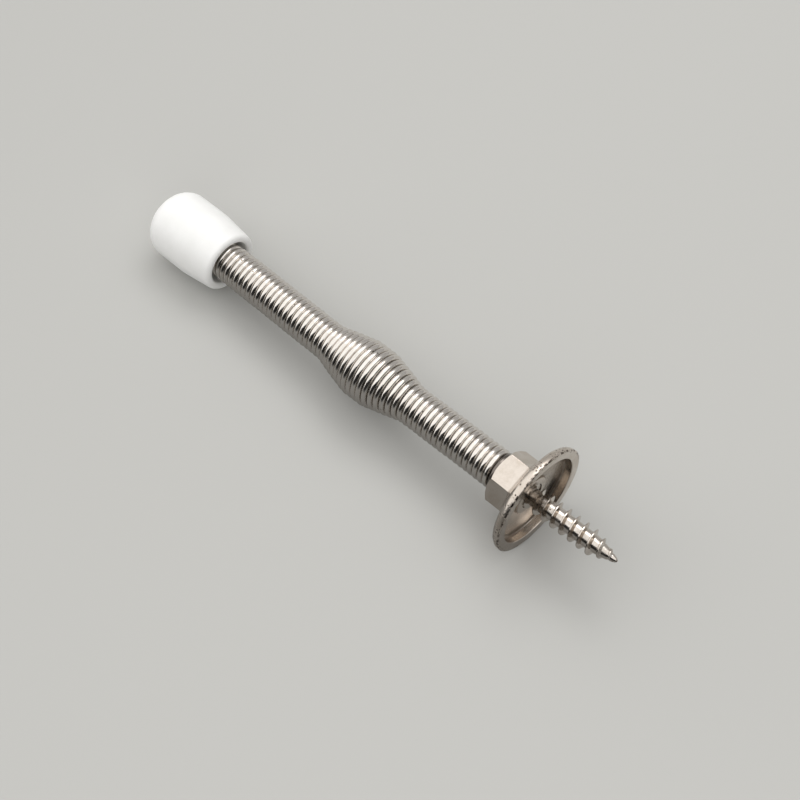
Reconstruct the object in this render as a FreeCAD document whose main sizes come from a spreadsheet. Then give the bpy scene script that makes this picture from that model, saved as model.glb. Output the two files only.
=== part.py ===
# Spring door stop: a screw-in base with a hexagonal collar, a close-wound spring with a
# bulge at its middle, and a soft tip. Millimetres. X runs along the axis from the wall to
# the tip, Z is up, and the origin is the middle of the rim that meets the wall.
import FreeCAD, Part
import Sketcher
import math
import os
import re
import sys

SIZES = {
    # the whole stop
    "reach": 80.0,  # from the wall to the end of the tip
    # the wire and its coil
    "wire_dia": 1.0,
    "turn_gap": 0.04,  # hardly open, so that the turns stay apart
    "coil_dia": 6.4,  # outside the plain turns
    "bulge_dia": 9.8,  # outside the largest turn
    "bulge_middle": 26.83,  # from the collar's end to the largest turn
    "bulge_long": 17.0,
    "bulge_flat": 2.6,  # how long the bulge keeps its largest size
    "bulge_crest": 0.6,  # how softly its two cones begin there
    "coil_turn": 281.0,  # degrees from +Y round to where the coil begins
    "coil_clearance": 0.06,  # from the screw's head to the coil that stands on it
    # the soft tip
    "tip_long": 14.9,
    "tip_dia": 11.6,
    "tip_mouth_in": 0.7,  # how much smaller in radius the tip is at its mouth
    "tip_taper_long": 5.8,
    "tip_taper_blend": 12.0,
    "tip_end_round": 3.4,
    "tip_hole_clearance": 0.6,  # round the coil in the mouth
    "tip_hole_deep": 2.6,
    "tip_hole_step": 0.8,
    "tip_grip_clearance": 0.05,
    "tip_end_solid": 5.3,  # from the bottom of the bore to the end of the tip
    "tip_bore_spare": 0.4,  # from the coil's end to the bottom of the bore
    "tip_lip_outer": 0.7,
    "tip_lip_inner": 0.45,
    # the base
    "flange_dia": 18.25,
    "flange_edge": 1.25,
    "flange_round": 1.4,
    "rim_wide": 1.62,  # the flat ring that meets the wall
    "rim_bevel": 0.15,
    "cup_deep": 1.45,  # at the cup's outer wall
    "cup_slope": 0.45,  # how much deeper the cup is at the boss
    "dome_rise": 1.75,  # from the flange's edge up to where the dome meets the collar
    "dome_ledge": 0.2,  # from the collar's corners out to the dome's top edge
    "boss_wall": 1.2,  # metal round the screw in the boss
    "boss_back": 1.32,  # from the wall back to the boss's face
    "boss_bevel": 0.2,
    "collar_wall": 0.73,  # metal between the bore and the middle of a flat
    "collar_reach": 6.87,  # from the wall to the collar's end
    "collar_turn": 15.3,  # degrees from straight up to a corner of the hexagon
    "collar_bevel": 0.8,
    "cut_past": 0.5,  # how far a cut runs on past the metal
    "bore_clearance": 0.15,  # round the coil in the collar
    "bore_bevel": 0.35,
    # the screw
    "screw_crest_dia": 4.0,
    "screw_root_dia": 2.6,
    "screw_pitch": 1.64,
    "screw_reach": 14.6,  # from the wall to the point
    "screw_taper": 4.4,
    "screw_land": 0.16,  # the flat on the thread's crest
    "screw_foot": 0.85,  # how wide the thread is where it meets the core
    "thread_sink": 0.12,
    "thread_stop": 1.3,  # from the point back to the end of the thread
    "thread_least": 0.08,  # how high the thread still is at its end
    "thread_turn": 200.0,  # degrees from +Y round to where the thread begins
    "neck_over": 0.05,  # how far the plain neck stands out over the crests
    "neck_rise": 0.15,  # how deep in the boss the neck reaches its full size
    "screw_hole_clearance": 0.1,
    "head_clearance": 0.5,  # round the screw's head in the bore
    "head_high": 1.0,
    "head_floor": 2.0,  # metal between the boss's face and the head
}

COLLAR_CORNERS = 6
BORE = "(coil_dia / 2 + bore_clearance)"
FLAT_OUT = f"({BORE} + collar_wall)"  # from the axis to the middle of a flat
CORNER_OUT = f"({FLAT_OUT} * 2 / sqrt(3))"  # from the axis to a corner of the hexagon
LEAN = f"-{CORNER_OUT} * sin(collar_turn * 1deg)"
FLANGE_OUT = "(flange_dia / 2)"
NECK_OUT = "(screw_crest_dia / 2 + neck_over)"
DOME_OUT = f"({CORNER_OUT} + dome_ledge)"
DOME_TOP = "(flange_edge + dome_rise)"
CUP_FLOOR = "(cup_deep + cup_slope)"  # at the boss, where the cup is deepest
COLLAR_START = f"(({CUP_FLOOR} + {DOME_TOP}) / 2)"  # inside the flange's metal
BACK_TURN = f"(90deg - atan(dome_rise / ({FLANGE_OUT} - {DOME_OUT})))"  # edge to back
HEAD_SEAT = "(boss_back + head_floor)"
COIL_START = f"({HEAD_SEAT} + head_high + coil_clearance)"
COIL_END = "(reach - tip_end_solid - tip_bore_spare)"
CORE_STEPS = (0.06, 0.25, 0.6, 1.0)  # shares of the taper where the core's outline turns
LIP_SHARE = 0.45  # the most of the mouth's wall that one of its roundings may take
EDGE_SHARE = 0.92  # the most of the flange's edge that its rounding may take
SPANS_A_TURN = 5  # pieces of curve in one turn of wire or thread
TANGENT_SHARE = 0.001  # of a piece, over which its end tangents are taken

doc = FreeCAD.newDocument("spring_door_stop")
sheet = doc.addObject("Spreadsheet::Sheet", "sizes")
for row, (name, value) in enumerate(SIZES.items(), start=1):
    sheet.set(f"A{row}", name)
    sheet.set(f"B{row}", str(value))
    sheet.setAlias(f"B{row}", name)
doc.recompute()


def cell(name):
    """A size as it stands in the sheet."""
    return float(sheet.get(name))


def bound(text):
    """An expression in the sheet's names, made ready for another object."""
    return re.sub(r"[a-z_]+", lambda w: f"sizes.{w[0]}" if w[0] in SIZES else w[0], text)


def number(text):
    """What an expression in the sheet's names comes to."""
    value = sheet.evalExpression(text)
    return float(getattr(value, "Value", value))


def new_body(label):
    body = doc.addObject("PartDesign::Body", label)
    body.Label = label
    return body


def sketch_on(body, name, role, raised="0"):
    """A sketch on one of the body's own planes, raised from it by an expression."""
    sketch = body.newObject("Sketcher::SketchObject", name)
    plane = next(f for f in body.Origin.OriginFeatures if f.Role == role)
    sketch.AttachmentSupport = [(plane, "")]
    sketch.MapMode = "FlatFace"
    sketch.setExpression("AttachmentOffset.Base.z", bound(raised))
    return sketch


def tie(sketch, line, rule, name, text):
    """Binds one coordinate of a line's first point to an expression."""
    value = number(text)
    if abs(value) < 1e-9:
        axis = -2 if rule == "DistanceX" else -1
        sketch.addConstraint(Sketcher.Constraint("PointOnObject", line, 1, axis))
        return
    place = sketch.addConstraint(Sketcher.Constraint(rule, -1, 1, line, 1, value))
    sketch.renameConstraint(place, name)
    sketch.setExpression(f"Constraints.{name}", bound(text))


def outline(body, name, corners, role="XY_Plane"):
    """A closed sketch of straight sides whose corners are bound to the sheet."""
    sketch = sketch_on(body, name, role)
    points = [FreeCAD.Vector(number(x), number(y), 0) for x, y in corners]
    for i, point in enumerate(points):
        following = points[(i + 1) % len(points)]
        sketch.addGeometry(Part.LineSegment(point, following), False)
    for i, (x, y) in enumerate(corners):
        following = (i + 1) % len(points)
        sketch.addConstraint(Sketcher.Constraint("Coincident", i, 2, following, 1))
        tie(sketch, i, "DistanceX", f"x{i}", x)
        tie(sketch, i, "DistanceY", f"y{i}", y)
    return sketch


def turned(body, kind, name, corners):
    """A profile turned right round the X axis, added with Revolution or cut with Groove."""
    feature = body.newObject(f"PartDesign::{kind}", name)
    feature.Profile = outline(body, f"{name}_profile", corners)
    feature.ReferenceAxis = (feature.Profile[0], ["H_Axis"])
    feature.Angle = 360
    doc.recompute()
    return feature


def ring_edges(shape, places):
    """Names of the round edges about the X axis at given (x, radius)."""
    names = []
    for i, edge in enumerate(shape.Edges, start=1):
        if not isinstance(edge.Curve, Part.Circle):
            continue
        here = (edge.Curve.Center.x, edge.Curve.Radius)
        if any(math.dist(here, place) < 1e-4 for place in places):
            names.append(f"Edge{i}")
    return names


def rounded(body, name, base, size, corners, kind="Fillet", field="Radius"):
    """Rounds or bevels the circular edges that run through the given corners."""
    places = [(number(x), number(r)) for x, r in corners]
    names = ring_edges(base.Shape, places)
    if len(names) < len(places):
        sys.exit(f"{name}: found {len(names)} of {len(places)} edges")
    feature = body.newObject(f"PartDesign::{kind}", name)
    feature.Base = (base, names)
    feature.setExpression(field, bound(size))
    doc.recompute()
    return feature


def make_rubber_tip():
    """One moulding: a blind bore grips the coil, and its wider mouth lets the coil bend."""
    body = new_body("rubber_tip")
    mouth = "reach - tip_long"
    taper_end = "reach - tip_long + tip_taper_long"
    step_start = "reach - tip_long + tip_hole_deep"
    step_end = "reach - tip_long + tip_hole_deep + tip_hole_step"
    bottom = "reach - tip_end_solid"
    grip = "coil_dia / 2 + tip_grip_clearance"
    hole = "coil_dia / 2 + tip_hole_clearance"
    rim = "tip_dia / 2 - tip_mouth_in"
    most = f"{LIP_SHARE} * ({rim} - ({hole}))"  # of the wall, for one rounding
    form = turned(body, "Revolution", "moulding", [
        (mouth, hole),
        (mouth, rim),
        (taper_end, "tip_dia / 2"),
        ("reach", "tip_dia / 2"),
        ("reach", "0"),
        (bottom, "0"),
        (bottom, grip),
        (step_end, grip),
        (step_start, hole),
    ])
    form = rounded(body, "end_round", form, "tip_end_round", [("reach", "tip_dia / 2")])
    form = rounded(body, "taper_blend", form, "tip_taper_blend",
                   [(taper_end, "tip_dia / 2")])
    form = rounded(body, "lip_outer", form, f"min(tip_lip_outer, {most})", [(mouth, rim)])
    rounded(body, "lip_inner", form, f"min(tip_lip_inner, {most})", [(mouth, hole)])
    return body


def collar_section(body):
    """The collar's hexagon: six equal sides round a circle, leaned over by collar_turn."""
    sketch = sketch_on(body, "collar_section", "YZ_Plane", COLLAR_START)
    out = number(CORNER_OUT)
    corners = []
    for i in range(COLLAR_CORNERS):
        angle = math.radians(90 + cell("collar_turn") + 360 / COLLAR_CORNERS * i)
        corners.append(FreeCAD.Vector(math.cos(angle), math.sin(angle), 0) * out)
    for i, corner in enumerate(corners):
        following = corners[(i + 1) % COLLAR_CORNERS]
        sketch.addGeometry(Part.LineSegment(corner, following), False)
    circle = Part.Circle(FreeCAD.Vector(), FreeCAD.Vector(0, 0, 1), out)
    guide = sketch.addGeometry(circle, True)
    sketch.addConstraint(Sketcher.Constraint("Coincident", guide, 3, -1, 1))
    for i in range(COLLAR_CORNERS):
        following = (i + 1) % COLLAR_CORNERS
        sketch.addConstraint(Sketcher.Constraint("Coincident", i, 2, following, 1))
        sketch.addConstraint(Sketcher.Constraint("PointOnObject", i, 1, guide))
    for i in range(COLLAR_CORNERS - 1):
        sketch.addConstraint(Sketcher.Constraint("Equal", i, i + 1))
    size = sketch.addConstraint(Sketcher.Constraint("Radius", guide, out))
    sketch.renameConstraint(size, "corner_out")
    sketch.setExpression("Constraints.corner_out", bound(CORNER_OUT))
    tie(sketch, 0, "DistanceX", "lean", LEAN)
    return sketch


def make_base():
    """One turned and milled piece: a cupped flange, a domed back and a hexagonal collar."""
    body = new_body("base")
    cup = f"{FLANGE_OUT} - rim_wide"
    hole = f"{NECK_OUT} + screw_hole_clearance"
    boss = f"{hole} + boss_wall"
    turned(body, "Revolution", "flange", [
        ("0", cup),
        ("0", FLANGE_OUT),
        ("flange_edge", FLANGE_OUT),
        (DOME_TOP, DOME_OUT),
        (DOME_TOP, "0"),
        ("boss_back", "0"),
        ("boss_back", boss),
        (CUP_FLOOR, boss),
        ("cup_deep", cup),
    ])
    pad = body.newObject("PartDesign::Pad", "collar")
    pad.Profile = collar_section(body)
    pad.setExpression("Length", bound(f"collar_reach - ({COLLAR_START})"))
    doc.recompute()
    before = pad.Shape.Volume
    past = "collar_reach + cut_past"
    turned(body, "Groove", "collar_bevel_cut", [
        ("collar_reach - collar_bevel", f"{CORNER_OUT} + cut_past"),
        (past, f"{CORNER_OUT} + cut_past"),
        (past, FLAT_OUT),
        ("collar_reach", FLAT_OUT),
    ])
    cut = turned(body, "Groove", "bore_cut", [
        ("boss_back - cut_past", "0"),
        ("boss_back - cut_past", hole),
        (HEAD_SEAT, hole),
        (HEAD_SEAT, BORE),
        ("collar_reach - bore_bevel", BORE),
        ("collar_reach", f"{BORE} + bore_bevel"),
        (past, f"{BORE} + bore_bevel"),
        (past, "0"),
    ])
    if cut.Shape.Volume >= before:
        sys.exit("the base's grooves took nothing away")
    most = f"{EDGE_SHARE} * (flange_edge - rim_bevel) / tan({BACK_TURN} / 2)"
    form = rounded(body, "flange_edge_round", cut, f"min(flange_round, {most})",
                   [("flange_edge", FLANGE_OUT)])
    form = rounded(body, "rim_bevels", form, "rim_bevel",
                   [("0", cup), ("0", FLANGE_OUT)], "Chamfer", "Size")
    rounded(body, "boss_bevels", form, "boss_bevel",
            [("boss_back", boss), ("cup_deep", cup)], "Chamfer", "Size")
    return body


def spline_edge(path, first, last):
    """One stretch of a winding curve, from turn first to turn last, with true tangents."""
    spans = max(2, math.ceil(SPANS_A_TURN * (last - first)))
    share = (last - first) / spans
    points = [path(first + share * i) for i in range(spans + 1)]
    step = share * TANGENT_SHARE
    leaving = (path(first + step) - path(first)) * (share / step)
    arriving = (path(last) - path(last - step)) * (share / step)
    curve = Part.BSplineCurve()
    curve.interpolate(Points=points, Parameters=[float(i) for i in range(spans + 1)],
                      InitialTangent=leaving, FinalTangent=arriving, Scale=False)
    return curve.toShape()


def end_face(edges, which):
    corners = [edge.Vertexes[which].Point for edge in edges]
    return Part.Face(Part.makePolygon(corners + corners[:1]))


def wound(paths, turns):
    """A solid whose flat-sided section winds round the X axis, made turn by turn. Each path
    gives the place of one corner of the section after a number of turns."""
    stops = [float(i) for i in range(round(turns))] + [turns]
    faces = []
    for first, last in zip(stops, stops[1:]):
        edges = [spline_edge(path, first, last) for path in paths]
        for edge, following in zip(edges, edges[1:] + edges[:1]):
            faces.extend(Part.makeRuledSurface(edge, following).Faces)
        if first == stops[0]:
            faces.append(end_face(edges, 0))
    faces.append(end_face(edges, -1))
    shell = Part.Shell(faces)
    shell.sewShape()
    solid = Part.Solid(shell)
    if solid.Volume < 0:
        solid.reverse()
    return solid


def bulge_radius(x):
    """Outside radius of the coil at x: plain, but for a bulge of two cones with a short
    plain stretch between them."""
    plain = cell("coil_dia") / 2
    rise = cell("bulge_dia") / 2 - plain
    flat = cell("bulge_flat") / 2
    cone = cell("bulge_long") / 2 - flat
    crest = cell("bulge_crest")
    middle = cell("collar_reach") + cell("bulge_middle")
    away = max(abs(x - middle) - flat, 0.0)
    fall = (cone - math.hypot(away, crest)) / (cone - crest)
    return plain + rise * max(fall, 0.0)


def make_spring():
    """The close-wound coil, one wire in a right-handed winding. Its section has six flats,
    and is as high and as large as the round wire's."""
    wire = cell("wire_dia")
    start = number(COIL_START)
    end = number(COIL_END)
    turns = (end - start - wire) / wire
    widest = wire / 2 - cell("turn_gap") / 2
    flat = math.pi * wire / 4 - widest
    begin = math.radians(cell("coil_turn"))

    def path(along, out):
        def place(turn):
            x = start + wire / 2 + turn * wire
            radius = bulge_radius(x) - wire / 2 + out
            angle = begin + 2 * math.pi * turn
            return FreeCAD.Vector(x + along, radius * math.cos(angle), radius * math.sin(angle))
        return place

    section = [(flat, wire / 2), (widest, 0), (flat, -wire / 2),
               (-flat, -wire / 2), (-widest, 0), (-flat, wire / 2)]
    spring = doc.addObject("Part::Feature", "spring")
    spring.Label = "spring"
    spring.Shape = wound([path(along, out) for along, out in section], turns)
    print(f"spring: {turns:.1f} turns")
    return spring


def share_of(value, first, last):
    """How far a value has come on its way from first to last, from 0 to 1."""
    return min(max((value - first) / (last - first), 0.0), 1.0)


def make_thread():
    """The ridge of the coarse thread, sunk a little into the core that it is fused to."""
    pitch = cell("screw_pitch")
    root = cell("screw_root_dia") / 2
    least = cell("thread_least")
    growth = cell("screw_crest_dia") / 2 - root - least
    land = cell("screw_land") / 2
    foot = cell("screw_foot") / 2
    start = cell("boss_back") + pitch / 2
    reach = cell("screw_reach")
    taper = cell("screw_taper")
    stop = cell("thread_stop")
    begin = math.radians(cell("thread_turn"))
    turns = (start + reach - stop) / pitch

    def path(along, inner):
        def place(turn):
            x = start - turn * pitch
            core = root * math.sqrt(share_of(x + reach, 0.0, taper))
            ridge = least + growth * share_of(x + reach, stop, taper)
            radius = core - cell("thread_sink") if inner else core + ridge
            angle = begin - 2 * math.pi * turn
            return FreeCAD.Vector(x + along, radius * math.cos(angle), radius * math.sin(angle))
        return place

    return wound([path(-foot, True), path(-land, False),
                  path(land, False), path(foot, True)], turns)


def make_screw():
    """A wood screw: a flat head under the coil, a plain neck and a coarse thread."""
    body = new_body("screw_core")
    head = f"{BORE} - head_clearance"
    point = [(f"-screw_reach + {share} * screw_taper", f"sqrt({share}) * screw_root_dia / 2")
             for share in CORE_STEPS]
    turned(body, "Revolution", "shank", [
        ("-screw_reach", "0"),
        *point,
        ("boss_back", "screw_root_dia / 2"),
        ("boss_back + neck_rise", NECK_OUT),
        (HEAD_SEAT, NECK_OUT),
        (HEAD_SEAT, head),
        (f"{HEAD_SEAT} + head_high", head),
        (f"{HEAD_SEAT} + head_high", "0"),
    ])
    thread = doc.addObject("Part::Feature", "screw_thread")
    thread.Shape = make_thread()
    screw = doc.addObject("Part::Fuse", "screw")
    screw.Label = "screw"
    screw.Base = body
    screw.Tool = thread
    doc.recompute()
    return screw


pieces = [make_rubber_tip(), make_base(), make_screw(), make_spring()]
doc.recompute()

faulty = [o.Name for o in doc.Objects if {"Invalid", "Error"} & set(o.State)]
if faulty:
    sys.exit(f"objects that failed: {faulty}")
os.makedirs("parts", exist_ok=True)
for piece in pieces:
    shape = piece.Shape
    if shape.isNull() or not shape.isValid() or len(shape.Solids) != 1:
        sys.exit(f"{piece.Label}: not one valid solid")
    box = shape.BoundBox
    print(f"{piece.Label}: {shape.Volume:.1f} mm3, x {box.XMin:.2f} to {box.XMax:.2f}, "
          f"y {box.YLength:.2f}, z {box.ZLength:.2f}, faces {len(shape.Faces)}")
    shape.exportStep(f"parts/{piece.Label}.step")
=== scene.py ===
# %% [markdown]
# A spring door stop. It screws to a skirting board, its coil gives way when a door swings
# against it, and its soft tip keeps the door from being marked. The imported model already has
# the true shape and size of its four pieces. This lesson dresses them: each gets a smooth
# mesh and a finish of its own, and then come a floor, soft light and a camera. Nothing here
# moves a piece, because every mesh is made where the model's piece is.

# %% Load the model
import math

import bmesh
import bpy
from mathutils import Matrix, Vector


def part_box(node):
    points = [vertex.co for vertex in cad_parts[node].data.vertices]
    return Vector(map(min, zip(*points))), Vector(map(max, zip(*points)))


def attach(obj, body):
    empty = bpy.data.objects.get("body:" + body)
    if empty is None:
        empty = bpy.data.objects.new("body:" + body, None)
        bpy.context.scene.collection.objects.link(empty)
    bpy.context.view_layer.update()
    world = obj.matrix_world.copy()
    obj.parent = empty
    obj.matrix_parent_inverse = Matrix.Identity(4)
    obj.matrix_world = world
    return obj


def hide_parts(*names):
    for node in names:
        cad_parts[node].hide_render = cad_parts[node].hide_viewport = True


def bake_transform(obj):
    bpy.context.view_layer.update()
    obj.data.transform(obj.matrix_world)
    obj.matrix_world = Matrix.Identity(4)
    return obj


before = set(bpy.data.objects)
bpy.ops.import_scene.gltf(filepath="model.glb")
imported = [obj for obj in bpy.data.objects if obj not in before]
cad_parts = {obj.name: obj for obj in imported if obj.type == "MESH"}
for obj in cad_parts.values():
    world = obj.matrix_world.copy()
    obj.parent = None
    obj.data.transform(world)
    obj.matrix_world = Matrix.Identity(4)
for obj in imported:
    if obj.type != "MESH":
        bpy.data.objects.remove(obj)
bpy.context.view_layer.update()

MM = 0.001
print("pieces in the model:", sorted(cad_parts))

# %% [markdown]
# Blender works in metres, and this stop is small, so the lesson thinks in millimetres and
# turns them into metres only where a mesh is made. X runs along the stop, from the wall at 0
# to the tip. Where the model can answer, it is asked: a piece's box says where it starts and
# ends. What no box can tell, such as the depth of a cup, is written down once as a size.

# %% Ask the model
def ends(node):
    """Where a piece starts and ends along X, in millimetres."""
    low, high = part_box(node)
    return low.x / MM, high.x / MM


TIP_MOUTH, REACH = ends("rubber_tip")
COLLAR_END = ends("base")[1]
SCREW_POINT = ends("screw")[0]
print(f"mouth of the tip {TIP_MOUTH:.2f}, reach {REACH:.2f}, "
      f"end of the collar {COLLAR_END:.2f}, point of the screw {SCREW_POINT:.2f}")

# %% Sizes that no box tells
TIP_OUT = 5.8  # half the tip's diameter; every size that ends in OUT is from the axis
FLANGE_OUT = 9.125
WIRE = 1.0
COIL_OUT = 3.2
COLLAR_FLAT_OUT = 4.08
HEAD_SEAT = 3.32  # where the screw's head rests inside the collar

# %% [markdown]
# The stop lies on its side on a plain pale floor. It touches it at two places, the rim of the
# flange and the underside of the tip. The flange is the wider of the two, so the floor leans
# a little against the stop's axis. It is cheaper to lean the floor than to move the stop,
# which has to stay where the model has it.

# %% The floor's plane
RIM_TOUCH = Vector((0.41, 0, -FLANGE_OUT))
TIP_TOUCH = Vector((76.75, 0, -TIP_OUT))
along_floor = (TIP_TOUCH - RIM_TOUCH).normalized()
floor_up = Vector((-along_floor.z, 0, along_floor.x))
print(f"the floor leans {math.degrees(math.asin(along_floor.z)):.2f} degrees")

# %% [markdown]
# The camera was found by lining up known points, such as the two ends of the axis and the
# edge of the flange, until they met the picture's. A long lens from a short way off keeps
# the flange's ellipse true. The camera has no roll: its up is the floor's up.

# %% The camera
CAMERA_PLACE = Vector((-69.36, 93.86, 209.48))
CAMERA_AIM = Vector((27.15, 0.64, -0.32))
FOCAL_PIXELS = 1640
PICTURE_PIXELS = 800
SENSOR = 36.0


def make_camera():
    data = bpy.data.cameras.new("camera")
    data.sensor_width = SENSOR
    data.lens = SENSOR * FOCAL_PIXELS / PICTURE_PIXELS
    data.clip_start = 1 * MM
    camera = bpy.data.objects.new("camera", data)
    bpy.context.scene.collection.objects.link(camera)
    back = (CAMERA_PLACE - CAMERA_AIM).normalized()
    right = floor_up.cross(back).normalized()
    turn = Matrix((right, back.cross(right), back)).transposed().to_4x4()
    camera.matrix_world = Matrix.Translation(CAMERA_PLACE * MM) @ turn
    bpy.context.scene.camera = camera
    return camera


print(f"lens {make_camera().data.lens:.1f} mm")

# %% [markdown]
# All four pieces are made the same way: a row of rings with equally many points, joined by
# quads. A ring round the axis at each corner of an outline gives a turned piece, as on a
# lathe. A small ring that follows a helix gives wire. The ring's own numbers also lay a map
# on the surface: how far along it a point is, and how far round. Fine lines in a finish
# follow that map later, even where the coil bends.

# %% Rings into a mesh
MAP_NAME = "lay"
SHARP = math.radians(30)


def lay_map(bm, rows):
    """Writes to each face corner how far along the rings (mm) and how far round it is."""
    layer = bm.loops.layers.uv.new(MAP_NAME)
    along = [0.0]
    for row, following in zip(rows, rows[1:]):
        along.append(along[-1] + (following[0].co - row[0].co).length / MM)
    count = len(rows[0])
    faces = iter(bm.faces)
    for k in range(len(rows) - 1):
        for i in range(count):
            places = [(k, i), (k, i + 1), (k + 1, i + 1), (k + 1, i)]
            for loop, (row, step) in zip(next(faces).loops, places):
                loop[layer].uv = (along[row], step / count)


def skin(name, rings, looped):
    """A smooth piece of quads between rings of points in millimetres. Looped, its last ring
    meets the first; otherwise both ends are closed with a face."""
    bm = bmesh.new()
    rows = [[bm.verts.new(point * MM) for point in points] for points in rings]
    if looped:
        rows.append(rows[0])
    for row, following in zip(rows, rows[1:]):
        for i in range(len(row)):
            after = (i + 1) % len(row)
            bm.faces.new((row[i], row[after], following[after], following[i]))
    lay_map(bm, rows)
    if not looped:
        bm.faces.new(rows[0])
        bm.faces.new(rows[-1])
    bmesh.ops.remove_doubles(bm, verts=bm.verts, dist=1e-6 * MM)
    bmesh.ops.recalc_face_normals(bm, faces=bm.faces)
    mesh = bpy.data.meshes.new(name)
    bm.to_mesh(mesh)
    bm.free()
    mesh.shade_smooth()
    mesh.set_sharp_from_angle(angle=SHARP)
    piece = bpy.data.objects.new(name, mesh)
    bpy.context.scene.collection.objects.link(piece)
    print(f"{name}: {len(mesh.vertices)} points, {len(mesh.polygons)} faces")
    return piece


def keep_flats(piece):
    """Lets large faces keep their flat shading beside small roundings."""
    modifier = piece.modifiers.new("keep flats", "WEIGHTED_NORMAL")
    modifier.keep_sharp = True
    modifier.weight = 100


# %% Outlines and rings
ARC_STEPS = 8
ROUND_STEPS = 144


def eased(corners):
    """The points of a closed outline of (x, out, rounding), with its corners rounded."""
    points = []
    for i, (x, out, rounding) in enumerate(corners):
        here = Vector((x, out))
        if not rounding:
            points.append(here)
            continue
        before = (Vector(corners[i - 1][:2]) - here).normalized()
        after = (Vector(corners[(i + 1) % len(corners)][:2]) - here).normalized()
        half = before.angle(after) / 2
        centre = here + (before + after).normalized() * (rounding / math.sin(half))
        first = here + before * (rounding / math.tan(half)) - centre
        last = here + after * (rounding / math.tan(half)) - centre
        start = math.atan2(first.y, first.x)
        sweep = math.remainder(math.atan2(last.y, last.x) - start, 2 * math.pi)
        for step in range(ARC_STEPS + 1):
            angle = start + sweep * step / ARC_STEPS
            points.append(centre + rounding * Vector((math.cos(angle), math.sin(angle))))
    return points


def share_of(value, first, last):
    """How far a value has come on its way from first to last, from 0 to 1."""
    return min(max((value - first) / (last - first), 0), 1)


def ring(x, out, angles):
    """Points round the axis at x."""
    return [Vector((x, out * math.cos(a), out * math.sin(a))) for a in angles]


all_round = [2 * math.pi * i / ROUND_STEPS for i in range(ROUND_STEPS)]
print("points in a turned ring:", len(all_round))

# %% [markdown]
# The soft tip is one moulding of white rubber. Its blind bore grips the last turns of the
# coil, and the bore is wider at the mouth, so that the coil can bend there. Outside it
# narrows towards the mouth, and the end that meets the door is well rounded. All of it is
# round, so one outline turned about the axis gives it, bore and all. The long soft blend
# between taper and barrel is simply a corner with a very large rounding.

# %% The soft tip
TIP_MOUTH_OUT = 5.1
TIP_HOLE_OUT = 3.8
TIP_GRIP_OUT = 3.25
TIP_HOLE_TO = 2.6  # from the mouth in to where the wide part of the bore ends
TIP_GRIP_FROM = 3.4  # from the mouth in to where the bore grips the coil
TIP_TAPER_LONG = 5.8
TIP_TAPER_BLEND = 12.0
TIP_END_ROUND = 3.4
TIP_BOTTOM = REACH - 5.3  # the blind end of the bore
tip = skin("soft_tip", [ring(p.x, p.y, all_round) for p in eased([
    (TIP_MOUTH, TIP_HOLE_OUT, 0.45),
    (TIP_MOUTH, TIP_MOUTH_OUT, 0.7),
    (TIP_MOUTH + TIP_TAPER_LONG, TIP_OUT, TIP_TAPER_BLEND),
    (REACH, TIP_OUT, TIP_END_ROUND),
    (REACH, 0, 0),
    (TIP_BOTTOM, 0, 0),
    (TIP_BOTTOM, TIP_GRIP_OUT, 0.2),
    (TIP_MOUTH + TIP_GRIP_FROM, TIP_GRIP_OUT, 0.1),
    (TIP_MOUTH + TIP_HOLE_TO, TIP_HOLE_OUT, 0.3),
])], True)
keep_flats(tip)

# %% [markdown]
# The coil is one springy wire, wound turn against turn on a mandrel that swells in the
# middle. A curve with a round bevel could make it, but a mesh of rings gives the same tube
# with the map on it, and the radius may follow the swelling exactly: two straight cones with
# a short plain stretch between them, as such a mandrel is turned. Perfect turns look like
# a picture of a spring, so each stands off by a hair, as wound wire does, and the middle of
# the coil has settled a little to one side.

# %% The coil
COIL_START = 4.38
COIL_END = 74.3
COIL_TURN = math.radians(281)  # from +Y round to where the coil begins
BULGE_OUT = 4.9
BULGE_PLACE = COLLAR_END + 26.83  # the largest turn
BULGE_FLAT = 1.3  # half of the stretch that keeps the largest size
BULGE_CONE = 7.2  # how long each cone is
BULGE_CREST = 0.6  # how softly a cone begins
WIRE_SIDES = 16
STEPS_A_TURN = 48
TURN_GAP = 0.02
WAVER = 0.012  # how far a turn may stand off from its place
WAVER_ALONG = 2.4  # radians a turn, of the waver along the coil
WAVER_OUTWARD = 1.7, 0.61  # and of the two wavers outwards
BOW = 0.28  # how far the middle has settled to the near side


def coil_out(x):
    """Outside of the coil: plain, but for two cones with a short plain stretch between."""
    away = math.hypot(max(abs(x - BULGE_PLACE) - BULGE_FLAT, 0), BULGE_CREST)
    fall = (BULGE_CONE - away) / (BULGE_CONE - BULGE_CREST)
    return COIL_OUT + (BULGE_OUT - COIL_OUT) * max(fall, 0)


def wire_ring(turn):
    """Points round the wire after a number of turns."""
    x = COIL_START + WIRE / 2 + turn * WIRE + WAVER * math.sin(WAVER_ALONG * turn)
    outward_waver = sum(math.sin(rate * turn) for rate in WAVER_OUTWARD)
    middle = coil_out(x) - WIRE / 2 + WAVER * outward_waver
    angle = COIL_TURN + 2 * math.pi * turn
    outward = Vector((0, math.cos(angle), math.sin(angle)))
    thick = (WIRE - TURN_GAP) / 2
    sides = [2 * math.pi * i / WIRE_SIDES for i in range(WIRE_SIDES)]
    aside = BOW * math.sin(math.pi * share_of(x, COLLAR_END, TIP_MOUTH))**2
    return [Vector((x + thick * math.sin(side), aside, 0))
            + outward * (middle + thick * math.cos(side)) for side in sides]


coil_turns = (COIL_END - COIL_START - WIRE) / WIRE
coil_steps = round(coil_turns * STEPS_A_TURN)
coil = skin("spring_coil", [wire_ring(coil_turns * i / coil_steps)
                            for i in range(coil_steps + 1)], False)
print(f"{coil_turns:.1f} turns, {coil_out(BULGE_PLACE) * 2:.2f} mm over the largest")

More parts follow.
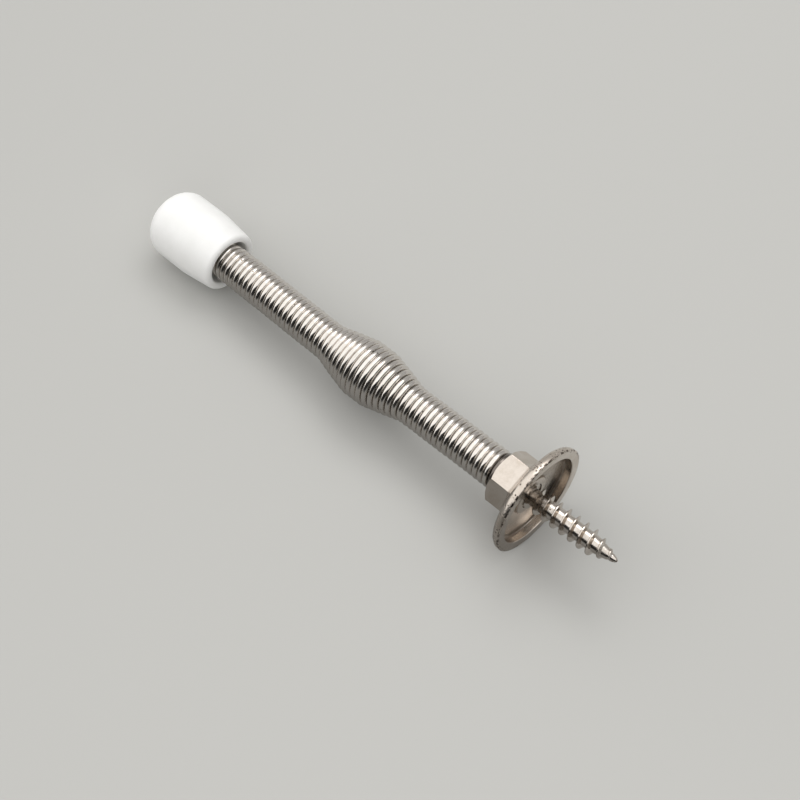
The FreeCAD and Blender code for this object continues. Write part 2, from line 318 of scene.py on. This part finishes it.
# %% [markdown]
# The base is one piece of nickel-plated steel. A round flange meets the wall with a flat
# ring, and its middle is a shallow cup with a low boss round the screw. Its back slopes up
# to a hexagonal collar for a spanner, which holds the end of the coil. A boolean of a disc
# and a prism would leave poor faces and hard edges. Here every ring has its points at the
# same angles, close together at the collar's edges, so the round outline can turn into the
# hexagon between one ring and the next, with small true roundings all over.

# %% Angles of the hexagon
SIDES = 6
SIDE = 2 * math.pi / SIDES
COLLAR_TURN = 15.3  # degrees from straight up to a corner
FIRST_FLAT = math.radians(90 + COLLAR_TURN) + SIDE / 2
EDGE_ROUND = 0.14
FLAT_STEPS = 18
EDGE_STEPS = 6
flat_half = math.atan((1 - EDGE_ROUND / COLLAR_FLAT_OUT) * math.tan(SIDE / 2))


def hexagon_out(angle):
    """From the axis to the collar's side, whose edges are rounded."""
    off = abs(math.remainder(angle - FIRST_FLAT, SIDE))
    if off <= flat_half:
        return COLLAR_FLAT_OUT / math.cos(off)
    middle = (COLLAR_FLAT_OUT - EDGE_ROUND) / math.cos(SIDE / 2)
    beside = SIDE / 2 - off
    return (middle * math.cos(beside)
            + math.sqrt(EDGE_ROUND**2 - (middle * math.sin(beside))**2))


def hexagon_angles():
    """Angles even over the flats and close at the edges."""
    found = []
    for side in range(SIDES):
        middle = FIRST_FLAT + side * SIDE
        found += [middle + flat_half * (2 * i / FLAT_STEPS - 1) for i in range(FLAT_STEPS + 1)]
        edge = SIDE - 2 * flat_half
        found += [middle + flat_half + edge * i / EDGE_STEPS for i in range(1, EDGE_STEPS)]
    return found


around = hexagon_angles()
print(f"{len(around)} points round the base, "
      f"{hexagon_out(FIRST_FLAT + SIDE / 2):.2f} mm at an edge")

# %% The base
CUP_DEEP = 1.45  # at the cup's outer wall
CUP_FLOOR = 1.9  # at the boss
BOSS_BACK = 1.32
BOSS_OUT = 3.35
HOLE_OUT = 2.15
BORE_OUT = 3.35
RIM_WIDE = 1.62
RIM_IN = FLANGE_OUT - RIM_WIDE
RIM_ROUND = 0.18
FLANGE_EDGE = 1.25
FLANGE_ROUND = 1.35
DOME_TOP = 3.0
DOME_LEDGE = 0.2
DOME_OUT = COLLAR_FLAT_OUT * 2 / math.sqrt(3) + DOME_LEDGE
BEVEL_SLOPE = 1.414  # out for each millimetre along, on the bevel at the collar's end
BORE_BEVEL = 0.35
SOFT = 0.06
DOME_FILLET = 0.1
QUARTER = 0.3  # about how far in the middle of a quarter round lies, as a share of it


def hexagon_ring(x_at, more=0.0):
    """A ring on the collar's side, at an x that may depend on the angle."""
    return [Vector((x_at(a), (hexagon_out(a) + more) * math.cos(a),
                    (hexagon_out(a) + more) * math.sin(a))) for a in around]


def bevel_start(angle):
    """Where the turned bevel leaves the collar's side at this angle."""
    return COLLAR_END - max((hexagon_out(angle) - COLLAR_FLAT_OUT) / BEVEL_SLOPE, SOFT)


flange = eased([
    (HEAD_SEAT, HOLE_OUT, 0),
    (BOSS_BACK, HOLE_OUT, 0.05),
    (BOSS_BACK, BOSS_OUT, 0.2),
    (CUP_FLOOR, BOSS_OUT, 0.15),
    (CUP_DEEP, RIM_IN, 0.25),
    (0, RIM_IN, RIM_ROUND),
    (0, FLANGE_OUT, RIM_ROUND),
    (FLANGE_EDGE, FLANGE_OUT, FLANGE_ROUND),
    (DOME_TOP, DOME_OUT, 0.2),
    (DOME_TOP, BORE_OUT, 0),
])[:-1]
rings = [ring(p.x, p.y, around) for p in flange]
rings += [
    hexagon_ring(lambda a: DOME_TOP, DOME_FILLET),
    hexagon_ring(lambda a: DOME_TOP + DOME_FILLET * QUARTER, DOME_FILLET * QUARTER),
    hexagon_ring(lambda a: DOME_TOP + DOME_FILLET),
    hexagon_ring(lambda a: (DOME_TOP + DOME_FILLET) / 2 + bevel_start(a) / 2),
    hexagon_ring(bevel_start),
    ring(COLLAR_END - SOFT * QUARTER, COLLAR_FLAT_OUT - SOFT * QUARTER, around),
    ring(COLLAR_END, COLLAR_FLAT_OUT - SOFT, around),
    ring(COLLAR_END, BORE_OUT + BORE_BEVEL, around),
    ring(COLLAR_END - BORE_BEVEL, BORE_OUT, around),
    ring(HEAD_SEAT, BORE_OUT, around),
]
base = skin("nickel_base", rings, True)
keep_flats(base)

# %% [markdown]
# The wood screw has a core that narrows to a point in a curve, and a coarse ridge that winds
# round it. They are made apart: the core is turned like the tip, and the ridge is a strip
# with a four-sided section on a helix, sunk a little into the core so that no gap shows. The
# ridge loses height towards the point, as a rolled thread does. The core's plain neck fills
# the hole in the boss, and its head sits out of sight in the collar, under the coil.

# %% The screw's core
CREST_OUT = 2.0
ROOT_OUT = 1.3
TAPER = 4.4
NECK_OUT = CREST_OUT + 0.05
NECK_RISE = 0.15  # how deep in the boss the neck reaches its full size
HEAD_OUT = 2.85
HEAD_END = HEAD_SEAT + 1.0
POINT_STEPS = 48
POINT_CROWDING = 1.5  # above 1 the rings lie closer at the point
PINCH_PLACE = 1.25  # from the point to the nick where the thread runs out
PINCH_LONG = 0.16
PINCH_DEEP = 0.12


def core_out(x):
    """Outside of the screw's core, with a nick where the point was pinched off."""
    left = max(x - SCREW_POINT, 0)
    nick = PINCH_DEEP * math.exp(-((left - PINCH_PLACE) / PINCH_LONG)**2)
    return ROOT_OUT * math.sqrt(min(left / TAPER, 1)) - nick


core = [(SCREW_POINT, 0.0)]
for i in range(1, POINT_STEPS + 1):
    x = SCREW_POINT + TAPER * (i / POINT_STEPS)**POINT_CROWDING
    core.append((x, core_out(x)))
core += [(BOSS_BACK, ROOT_OUT), (BOSS_BACK + NECK_RISE, NECK_OUT), (HEAD_SEAT, NECK_OUT),
         (HEAD_SEAT, HEAD_OUT), (HEAD_END, HEAD_OUT), (HEAD_END, 0.0)]
shank = skin("screw_shank", [ring(x, out, all_round) for x, out in core], True)

# %% The screw's thread
PITCH = 1.64
THREAD_START = BOSS_BACK + PITCH / 2
THREAD_TURN = math.radians(200)  # from +Y round to where the thread begins
THREAD_STOP = 1.3  # from the point back to the end of the thread
THREAD_LEAST = 0.08  # how high it still is there
THREAD_SINK = 0.12
FOOT_HALF = 0.425
LAND_HALF = 0.08


def thread_ring(turn):
    """The ridge's section after a number of turns back from the boss."""
    x = THREAD_START - turn * PITCH
    angle = THREAD_TURN - 2 * math.pi * turn
    left = share_of(x - SCREW_POINT, THREAD_STOP, TAPER)
    foot = ROOT_OUT * math.sqrt(min((x - SCREW_POINT) / TAPER, 1))
    crest = foot + THREAD_LEAST + (CREST_OUT - ROOT_OUT - THREAD_LEAST) * left
    section = [(-FOOT_HALF, foot - THREAD_SINK), (-LAND_HALF, crest),
               (LAND_HALF, crest), (FOOT_HALF, foot - THREAD_SINK)]
    return [Vector((x + off, out * math.cos(angle), out * math.sin(angle)))
            for off, out in section]


thread_turns = (THREAD_START - SCREW_POINT - THREAD_STOP) / PITCH
thread_steps = round(thread_turns * STEPS_A_TURN)
thread = skin("screw_thread", [thread_ring(thread_turns * i / thread_steps)
                               for i in range(thread_steps + 1)], False)
keep_flats(thread)

# %% [markdown]
# The tip, the base and the screw now ride on the bodies that carry them. The tip goes on
# the sway body, and the base and the screw stay on the wall. The coil is put on no body: its
# place is only baked into its mesh.

# %% Seat the pieces
for piece, body, node, slot in [
    (tip, "sway", "rubber_tip", "tip_rubber"),
    (base, "mount", "base", "base_nickel"),
    (shank, "mount", "screw", "screw_nickel"),
]:
    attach(piece, body)
    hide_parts(node)
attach(thread, "mount")
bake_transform(coil)
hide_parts("spring")
print("seated:", [piece.name for piece in (tip, coil, base, shank, thread)])

# %% [markdown]
# A finish is more than a colour. Up close metal has lines from the tool that made it, a
# fine grain, pits in the plating and patches that are duller than others. Several materials
# share these effects, so each effect is a node group, made once and placed with its own
# numbers. Two small helpers keep the node code short: one adds a node with its inputs, the
# other starts a group with named sockets.

# %% Node helpers
KINDS = {"value": "NodeSocketFloat", "vector": "NodeSocketVector"}


def add(tree, kind, inputs, **settings):
    """Adds a node. An input that is a socket is linked, any other is set."""
    made = tree.nodes.new("ShaderNode" + kind)
    for name, value in settings.items():
        setattr(made, name, value)
    for key, value in inputs.items():
        if isinstance(value, bpy.types.NodeSocket):
            tree.links.new(value, made.inputs[key])
        else:
            made.inputs[key].default_value = value
    return made


def math_node(tree, operation, first, second=0.0):
    return add(tree, "Math", {0: first, 1: second}, operation=operation).outputs[0]


def ramp(tree, value, first, last, low=0.0, high=1.0, soft=True):
    """A value that goes from low to high while another goes from first to last."""
    made = add(tree, "MapRange", {"Value": value, "From Min": first, "From Max": last,
                                  "To Min": low, "To Max": high},
               interpolation_type="SMOOTHSTEP" if soft else "LINEAR")
    return made.outputs["Result"]


def start_group(name, inputs, outputs):
    """An empty node group with named inputs (kind, default) and named outputs (kind)."""
    group = bpy.data.node_groups.new(name, "ShaderNodeTree")
    for label, (kind, default) in inputs.items():
        socket = group.interface.new_socket(label, in_out="INPUT", socket_type=KINDS[kind])
        if default is not None:
            socket.default_value = default
    for label, kind in outputs.items():
        group.interface.new_socket(label, in_out="OUTPUT", socket_type=KINDS[kind])
    given = group.nodes.new("NodeGroupInput").outputs
    wanted = group.nodes.new("NodeGroupOutput").inputs
    return group, given, wanted


def place(tree, group, inputs):
    """Places a node group in a material and gives its outputs."""
    return add(tree, "Group", inputs, node_tree=group).outputs


print("socket kinds:", list(KINDS))

# %% [markdown]
# The first group tells where on a turned piece a point is: how far along the axis, how far
# out from it, and how far round. Three of the pieces were turned or rolled, so their marks
# run in rings, and these three numbers are what such marks follow.

# %% Group: place on a turned piece
def make_turned_place():
    group, given, wanted = start_group(
        "turned_place", {}, {"Along": "value", "Out": "value", "Round": "value",
                             "Point": "vector"})
    spot = add(group, "TexCoord", {}).outputs["Object"]
    point = add(group, "VectorMath", {0: spot, "Scale": 1 / MM}, operation="SCALE").outputs[0]
    apart = add(group, "SeparateXYZ", {0: point}).outputs
    across = add(group, "CombineXYZ", {"Y": apart["Y"], "Z": apart["Z"]}).outputs[0]
    out = add(group, "VectorMath", {0: across}, operation="LENGTH").outputs["Value"]
    angle = math_node(group, "ARCTAN2", apart["Z"], apart["Y"])
    group.links.new(apart["X"], wanted["Along"])
    group.links.new(out, wanted["Out"])
    group.links.new(angle, wanted["Round"])
    group.links.new(point, wanted["Point"])
    return group


turned_place = make_turned_place()
print("group:", turned_place.name)

# %% [markdown]
# Mottle is a soft cloud of lighter and darker patches. With a large size it makes a metal
# duller in places and gives rubber the bloom of handling. With a tiny size it is the grain
# of a satin finish. One noise texture does both.

# %% Group: mottle
def make_mottle():
    group, given, wanted = start_group(
        "mottle", {"Point": ("vector", None), "Size": ("value", 1.0),
                   "Low": ("value", 0.0), "High": ("value", 1.0)}, {"Value": "value"})
    scale = math_node(group, "DIVIDE", 1.0, given["Size"])
    noise = add(group, "TexNoise", {"Vector": given["Point"], "Scale": scale,
                                    "Detail": 3.0, "Roughness": 0.6})
    value = ramp(group, noise.outputs[0], 0.3, 0.7, given["Low"], given["High"])
    group.links.new(value, wanted["Value"])
    return group


mottle = make_mottle()
print("group:", mottle.name)

# %% [markdown]
# Tool lines are the same noise, stretched: long one way and narrow the other. On wire they
# run along it, from the die it was drawn through. On the base they are rings from the lathe.
# The point that comes in is measured along the lines first and across them second.

# %% Group: tool lines
def make_tool_lines():
    group, given, wanted = start_group(
        "tool_lines", {"Point": ("vector", None), "Long": ("value", 5.0),
                       "Wide": ("value", 0.1)}, {"Value": "value"})
    along = math_node(group, "DIVIDE", 1.0, given["Long"])
    across = math_node(group, "DIVIDE", 1.0, given["Wide"])
    stretch = add(group, "CombineXYZ", {"X": along, "Y": across, "Z": across}).outputs[0]
    point = add(group, "VectorMath", {0: given["Point"], 1: stretch}, operation="MULTIPLY")
    noise = add(group, "TexNoise", {"Vector": point.outputs[0], "Scale": 1.0,
                                    "Detail": 2.0, "Roughness": 0.7})
    group.links.new(ramp(group, noise.outputs[0], 0.3, 0.7), wanted["Value"])
    return group


tool_lines = make_tool_lines()
print("group:", tool_lines.name)

# %% [markdown]
# Cheap plating is never whole: small pits show where it didn't take. A Voronoi texture cuts
# the surface into cells, and each cell has a random number of its own. Only cells whose
# number is under a share get a pit, a round spot at the cell's middle.

# %% Group: pits
def make_pits():
    group, given, wanted = start_group(
        "pits", {"Point": ("vector", None), "Size": ("value", 0.5),
                 "Share": ("value", 0.1)}, {"Mask": "value"})
    scale = math_node(group, "DIVIDE", 1.0, given["Size"])
    cells = add(group, "TexVoronoi", {"Vector": given["Point"], "Scale": scale})
    number = add(group, "SeparateColor", {0: cells.outputs["Color"]}).outputs[0]
    chosen = math_node(group, "LESS_THAN", number, given["Share"])
    spot = ramp(group, cells.outputs["Distance"], 0.18, 0.42, 1.0, 0.0)
    group.links.new(math_node(group, "MULTIPLY", spot, chosen), wanted["Mask"])
    return group


pits = make_pits()
print("group:", pits.name)

# %% Material helpers
def start_material(name, **settings):
    """A material and its shader, with the settings that are the same all over."""
    material = bpy.data.materials.new(name)
    material.use_nodes = True
    shader = material.node_tree.nodes["Principled BSDF"]
    for key, value in settings.items():
        shader.inputs[key.replace("_", " ")].default_value = value
    return material, material.node_tree, shader


def blend_colours(tree, share, first, second):
    """A colour between two, by a share that changes over the surface."""
    mix = add(tree, "Mix", {0: share}, data_type="RGBA")
    for socket, colour in ((6, first), (7, second)):
        if isinstance(colour, bpy.types.NodeSocket):
            tree.links.new(colour, mix.inputs[socket])
        else:
            mix.inputs[socket].default_value = (*colour, 1)
    return mix.outputs[2]


def raise_surface(tree, shader, heights):
    """Bumps the surface by heights, each (value, millimetres, strength), one over another."""
    normal = None
    for value, deep, strength in heights:
        bump = add(tree, "Bump", {"Height": value, "Distance": deep * MM,
                                  "Strength": strength})
        if normal is not None:
            tree.links.new(normal, bump.inputs["Normal"])
        normal = bump.outputs["Normal"]
    tree.links.new(normal, shader.inputs["Normal"])


print("helpers ready")

# %% [markdown]
# White rubber is soft to the eye too. Light goes some way into it, all colours alike, so
# subsurface is set on the shader and even its shaded side stays pale. The moulding's skin has
# a fine grain, and faintly duller and greyer patches where it was handled.

# %% White rubber
RUBBER_CLEAN = (0.88, 0.88, 0.87)
RUBBER_HANDLED = (0.845, 0.845, 0.83)


def make_white_rubber():
    material, tree, shader = start_material(
        "white_rubber", Subsurface_Weight=0.4, Subsurface_Scale=1 * MM,
        Subsurface_Radius=(1, 1, 1), IOR=1.5)
    spot = place(tree, turned_place, {})
    patches = place(tree, mottle, {"Point": spot["Point"], "Size": 4.0})["Value"]
    colour = blend_colours(tree, patches, RUBBER_CLEAN, RUBBER_HANDLED)
    tree.links.new(colour, shader.inputs["Base Color"])
    gloss = place(tree, mottle, {"Point": spot["Point"], "Size": 2.2,
                                 "Low": 0.42, "High": 0.55})["Value"]
    tree.links.new(gloss, shader.inputs["Roughness"])
    grain = place(tree, mottle, {"Point": spot["Point"], "Size": 0.16})["Value"]
    raise_surface(tree, shader, [(grain, 0.01, 0.35)])
    return material


tip.data.materials.append(make_white_rubber())
print("tip:", tip.data.materials[0].name)

# %% [markdown]
# The wire is bright nickel, drawn and then plated. It works as a row of small mirrors: what
# is seen of it is mostly the room, so its own detail is slight. Lines run along the wire,
# by the map that was laid on it, and its gloss comes and goes over a few turns. The first
# turn out of the collar is darkened with painted shade.

# %% Bright wire
WIRE_GIRTH = math.pi * WIRE
COLLAR_SHADE_FADES = 50.0, 57.0  # along the wire, where it comes out of the collar
WIRE_CLEAN = (0.76, 0.725, 0.685)
WIRE_LINED = (0.58, 0.54, 0.495)
WIRE_SHADE = (0.12, 0.10, 0.085)
WIRE_PIT = (0.25, 0.21, 0.17)
WIRE_ROUGH = 0.10, 0.17


def make_bright_wire():
    material, tree, shader = start_material("bright_wire", Metallic=1.0)
    laid = add(tree, "UVMap", {}, uv_map=MAP_NAME).outputs[0]
    point = add(tree, "VectorMath", {0: laid, 1: (1, WIRE_GIRTH, 1)}, operation="MULTIPLY")
    point = point.outputs[0]
    lines = place(tree, tool_lines, {"Point": point, "Long": 7.0, "Wide": 0.16})["Value"]
    dull = place(tree, mottle, {"Point": point, "Size": 9.0})["Value"]
    spots = place(tree, pits, {"Point": point, "Size": 0.6, "Share": 0.012})["Mask"]
    colour = blend_colours(tree, math_node(tree, "MULTIPLY", lines, 0.5),
                           WIRE_CLEAN, WIRE_LINED)
    along = add(tree, "SeparateXYZ", {0: point}).outputs["X"]
    # Painted shade: the wire's colour turns dark where it comes out of the collar.
    collar_shade = ramp(tree, along, *COLLAR_SHADE_FADES, 0.9, 0.0)
    colour = blend_colours(tree, collar_shade, colour, WIRE_SHADE)
    colour = blend_colours(tree, spots, colour, WIRE_PIT)
    tree.links.new(colour, shader.inputs["Base Color"])
    rough = math_node(tree, "ADD", ramp(tree, dull, 0, 1, *WIRE_ROUGH),
                      math_node(tree, "MULTIPLY", lines, 0.05))
    tree.links.new(rough, shader.inputs["Roughness"])
    raise_surface(tree, shader, [(lines, 0.004, 0.5)])
    return material


coil.data.materials.append(make_bright_wire())
print("coil:", coil.data.materials[0].name)

# %% [markdown]
# The base has a satin plate: turned, lightly blasted, then nickel plated. Rings from the
# lathe show on the flange, not on the milled sides of the collar. The thin edge of the rim
# has the most pits, because it was rolled about in a barrel with the others, and its front
# corner has a broken dark line, partly pits and partly painted shade. Painted shade darkens
# the cup's corners and where the collar meets the flange, so the metal is browner there.

# %% Satin nickel
SATIN_LIGHT = (0.65, 0.59, 0.53)
SATIN_DULL = (0.56, 0.495, 0.43)
SATIN_SHADE = (0.22, 0.175, 0.14)
SATIN_PIT = (0.10, 0.075, 0.06)
SATIN_ROUGH = 0.13, 0.22
ROUGHER_OUT = FLANGE_OUT - 0.5, FLANGE_OUT  # where the edge grows a little rougher
PITTED_OUT = FLANGE_OUT - 0.6, FLANGE_OUT - 0.15  # where the pits set in
SHADE_LINE_OUT = FLANGE_OUT - 0.26, FLANGE_OUT - 0.10  # where the dark line of pits and painted shade sets in
SHADE_LINE_ALONG = 0.16, 0.30  # and where it ends behind the front corner
CORNER_ALONG = 0.9, CUP_DEEP  # where painted shade darkens the cup's corner
CORNER_OUT = RIM_IN - 1.3, RIM_IN - 0.1
JOINT_BEFORE = DOME_TOP - 0.25, DOME_TOP  # and where it darkens the collar's foot
JOINT_AFTER = DOME_TOP + 0.05, DOME_TOP + 0.35
MILLED_ALONG = DOME_TOP, DOME_TOP + 0.3  # where the lathe's rings give way to milling


def make_satin_nickel():
    material, tree, shader = start_material("satin_nickel", Metallic=1.0)
    spot = place(tree, turned_place, {})
    along, out = spot["Along"], spot["Out"]
    rings_at = add(tree, "CombineXYZ", {"X": spot["Round"], "Y": out, "Z": along}).outputs[0]
    turning = place(tree, tool_lines, {"Point": rings_at, "Long": 3.0, "Wide": 0.14})["Value"]
    turning = math_node(tree, "MULTIPLY", turning,
                        ramp(tree, along, *MILLED_ALONG, 1.0, 0.15))
    grain = place(tree, mottle, {"Point": spot["Point"], "Size": 0.14})["Value"]
    patches = place(tree, mottle, {"Point": spot["Point"], "Size": 2.5})["Value"]
    at_rim = ramp(tree, out, *PITTED_OUT, 0.0, 0.55)
    holes = place(tree, pits, {"Point": spot["Point"], "Size": 0.42, "Share": at_rim})["Mask"]
    # A broken dark line along the rim's front corner: partly pits in the plating, partly
    # painted shade.
    edge = math_node(tree, "MULTIPLY", ramp(tree, out, *SHADE_LINE_OUT),
                     ramp(tree, along, *SHADE_LINE_ALONG, 1.0, 0.0))
    line_breaks = place(tree, mottle, {"Point": spot["Point"], "Size": 0.9})["Value"]
    pits_and_shade_line = math_node(tree, "MULTIPLY", edge, ramp(tree, line_breaks, 0.45, 0.75))
    holes = math_node(tree, "MAXIMUM", holes, pits_and_shade_line)
    corner = math_node(tree, "MULTIPLY", ramp(tree, along, *CORNER_ALONG),
                       ramp(tree, out, *CORNER_OUT))
    inside = math_node(tree, "LESS_THAN", out, RIM_IN + 0.02)
    corner = math_node(tree, "MULTIPLY", corner, inside)
    joint = math_node(tree, "MULTIPLY", ramp(tree, along, *JOINT_BEFORE),
                      ramp(tree, along, *JOINT_AFTER, 1.0, 0.0))
    # Painted shade: the colour goes darker and browner in the cup's corner and at the collar's
    # foot.
    painted_shade = math_node(tree, "MAXIMUM", corner, joint)
    painted_shade = math_node(tree, "MULTIPLY", painted_shade, ramp(tree, patches, 0, 1, 0.5, 0.95))
    colour = blend_colours(tree, patches, SATIN_LIGHT, SATIN_DULL)
    colour = blend_colours(tree, painted_shade, colour, SATIN_SHADE)
    colour = blend_colours(tree, holes, colour, SATIN_PIT)
    tree.links.new(colour, shader.inputs["Base Color"])
    rough = math_node(tree, "ADD", ramp(tree, patches, 0, 1, *SATIN_ROUGH),
                      math_node(tree, "MULTIPLY", painted_shade, 0.3))
    rough = math_node(tree, "ADD", rough, ramp(tree, out, *ROUGHER_OUT, 0, 0.1))
    tree.links.new(rough, shader.inputs["Roughness"])
    raise_surface(tree, shader, [(turning, 0.008, 0.5), (grain, 0.006, 0.5),
                                 (math_node(tree, "MULTIPLY", holes, -1.0), 0.05, 1.0)])
    return material


base.data.materials.append(make_satin_nickel())
print("base:", base.data.materials[0].name)

# %% [markdown]
# The screw is rolled and bright. Lines run round it, a few pits show, and the groove between
# the ridges has painted shade, darkest close to the boss.

# %% Bright nickel
BRIGHT_LIGHT = (0.67, 0.62, 0.57)
BRIGHT_DULL = (0.56, 0.51, 0.455)
BRIGHT_SHADE = (0.26, 0.225, 0.195)
BRIGHT_PIT = (0.16, 0.125, 0.10)
BRIGHT_ROUGH = 0.14, 0.26
GROOVE_OUT = ROOT_OUT, ROOT_OUT + 0.3  # the groove between the ridges, where painted shade lies
GROOVE_ALONG = -6.0, 1.0  # where there is more of it, towards the boss


def make_bright_nickel():
    material, tree, shader = start_material("bright_nickel", Metallic=1.0)
    spot = place(tree, turned_place, {})
    along, out = spot["Along"], spot["Out"]
    rolled_at = add(tree, "CombineXYZ", {"X": spot["Round"], "Y": along, "Z": out}).outputs[0]
    lines = place(tree, tool_lines, {"Point": rolled_at, "Long": 1.2, "Wide": 0.12})["Value"]
    patches = place(tree, mottle, {"Point": spot["Point"], "Size": 1.1})["Value"]
    holes = place(tree, pits, {"Point": spot["Point"], "Size": 0.35, "Share": 0.06})["Mask"]
    groove = ramp(tree, out, *GROOVE_OUT, 1.0, 0.0)
    near = ramp(tree, along, *GROOVE_ALONG, 0.12, 0.2)
    # Painted shade: the colour goes darker in the groove, most of all towards the boss.
    painted_shade = math_node(tree, "MULTIPLY", math_node(tree, "MULTIPLY", groove, near),
                     ramp(tree, patches, 0, 1, 0.1, 0.8))
    colour = blend_colours(tree, patches, BRIGHT_LIGHT, BRIGHT_DULL)
    colour = blend_colours(tree, painted_shade, colour, BRIGHT_SHADE)
    colour = blend_colours(tree, holes, colour, BRIGHT_PIT)
    tree.links.new(colour, shader.inputs["Base Color"])
    rough = math_node(tree, "ADD", ramp(tree, patches, 0, 1, *BRIGHT_ROUGH),
                      math_node(tree, "MULTIPLY", painted_shade, 0.2))
    tree.links.new(rough, shader.inputs["Roughness"])
    raise_surface(tree, shader, [(lines, 0.006, 0.4)])
    return material


bright_nickel = make_bright_nickel()
for piece in (shank, thread):
    piece.data.materials.append(bright_nickel)
print("screw:", bright_nickel.name)

# %% [markdown]
# The floor is one large plain sheet, a pale warm grey, far wider than the picture. The metal's
# lower side is made to mirror something dark on the near side, a painted dark reflection of
# the shade there. The metal's lower side mirrors something dark on the near side, which the
# picture itself doesn't show, as if the sheet ended there. Light Path tells a mirrored ray
# from a seen one, so this floor is darker on the near side for mirrors alone, and stays whole
# in the picture.

# %% The floor
FLOOR_HALF = 1500.0
FLOOR_COLOUR = (0.468, 0.467, 0.45)
MIRROR_DIMS = [(-8, 10, 0.55), (40, 120, 0.37)]  # from and to (mm, +Y), and how much darker


def make_floor():
    side = Vector((0, 1, 0))
    ahead = side.cross(floor_up)
    bm = bmesh.new()
    corners = [bm.verts.new((RIM_TOUCH + (ahead * a + side * b) * FLOOR_HALF) * MM)
               for a, b in ((-1, -1), (1, -1), (1, 1), (-1, 1))]
    bm.faces.new(corners)
    mesh = bpy.data.meshes.new("floor")
    bm.to_mesh(mesh)
    bm.free()
    floor = bpy.data.objects.new("floor", mesh)
    bpy.context.scene.collection.objects.link(floor)
    material, tree, shader = start_material("pale_floor", Roughness=0.9)
    spot = add(tree, "TexCoord", {}).outputs["Object"]
    near = add(tree, "SeparateXYZ", {0: spot}).outputs["Y"]
    dims = [ramp(tree, near, first * MM, last * MM, 0.0, share)
            for first, last, share in MIRROR_DIMS]
    dim = math_node(tree, "ADD", *dims)
    mirrored = add(tree, "LightPath", {}).outputs["Is Glossy Ray"]
    # Painted dark reflection: mirrored rays see the floor darker on the near side.
    colour = blend_colours(tree, math_node(tree, "MULTIPLY", dim, mirrored),
                           FLOOR_COLOUR, (0.0, 0.0, 0.0))
    tree.links.new(colour, shader.inputs["Base Color"])
    mesh.materials.append(material)
    return floor


print("floor faces:", len(make_floor().data.polygons))

# %% [markdown]
# Polished metal shows the room, so the room matters more than the lamps. This one has a
# bright ceiling right above, dim walls, a bright far end past the tip, a dark end that the
# screw points to, and a dark near side. The dark side is what puts the black streak on every
# turn of the coil, the bright end the thin line beside it, and the dim wall the grey strip
# along the top. World shaders get the direction of each ray. What matters here is how high it
# looks, as an angle round the stop's axis: 0 is level towards the near side, 90 straight up.
# Towards the wall the dark reaches a little higher, which gives the streaks their points.

# %% The room
DARK_TO = 43.0  # how high the near side's dark reaches, in degrees
DARK_LEAN = 30.0  # how much lower it reaches for a ray that looks straight along +X
DARK_EDGE = 5.0  # half the width of its soft edge
CEILING_TO = 118.0, 148.0  # where the ceiling passes into the wall behind
FAR_END = 0.45, 0.65  # how far along X a ray looks where the bright end begins
SCREW_END = -0.9, -0.6  # and where the dark end begins
SCREW_END_LIGHT = 0.1
CEILING = 1.35
WALLS = 0.48
DARK = 0.02
ROOM_COLOUR = (1, 0.99, 0.975)


def make_room():
    room = bpy.data.worlds.new("room")
    bpy.context.scene.world = room
    room.use_nodes = True
    tree = room.node_tree
    ray = add(tree, "TexCoord", {}).outputs["Generated"]
    apart = add(tree, "SeparateXYZ", {0: ray}).outputs
    high = math_node(tree, "ARCTAN2", apart["Z"], apart["Y"])
    high = math_node(tree, "DEGREES", high)
    lean = math_node(tree, "MULTIPLY", apart["X"], DARK_LEAN)
    above_dark = ramp(tree, math_node(tree, "ADD", high, lean), DARK_TO - DARK_EDGE,
                      DARK_TO + DARK_EDGE)
    past_ceiling = ramp(tree, high, *CEILING_TO)
    far_end = ramp(tree, apart["X"], *FAR_END)
    upper = ramp(tree, past_ceiling, 0, 1, CEILING, WALLS, soft=False)
    screw_end = ramp(tree, apart["X"], *SCREW_END, SCREW_END_LIGHT, 1.0)
    upper = math_node(tree, "MULTIPLY", upper, screw_end)
    lit = math_node(tree, "MAXIMUM", above_dark, far_end)
    strength = add(tree, "Mix", {0: lit, 2: DARK, 3: upper}).outputs[0]
    background = tree.nodes["Background"]
    tree.links.new(strength, background.inputs["Strength"])
    background.inputs["Color"].default_value = (*ROOM_COLOUR, 1)
    return room


print("world:", make_room().name)

# %% [markdown]
# One lamp above and a little behind the stop adds direction, so that the shadow falls to
# the near side and is darkest where the stop touches the floor. A wide weak one fills in
# from the near side, for the white tip. Mirrors don't show that one, or the dark streaks
# would be gone. The view transform is Standard, which shows colours as they are written.

# %% The lamps
def make_lamp(name, at, wide, high, power):
    data = bpy.data.lights.new(name, "AREA")
    data.shape = "RECTANGLE"
    data.size = wide * MM
    data.size_y = high * MM
    data.energy = power
    lamp = bpy.data.objects.new(name, data)
    bpy.context.scene.collection.objects.link(lamp)
    at = Vector(at)
    lamp.location = at * MM
    lamp.rotation_mode = "QUATERNION"
    lamp.rotation_quaternion = (CAMERA_AIM - at).to_track_quat("-Z", "Y")
    return lamp


key = make_lamp("key", at=(70, -150, 290), wide=200, high=160, power=0.22)
fill = make_lamp("fill", at=(-210, 290, 190), wide=400, high=300, power=0.5)
fill.visible_glossy = False
bpy.context.scene.view_settings.view_transform = "Standard"
print("lamps:", {lamp.name: round(lamp.data.energy, 2) for lamp in (key, fill)}, "W")
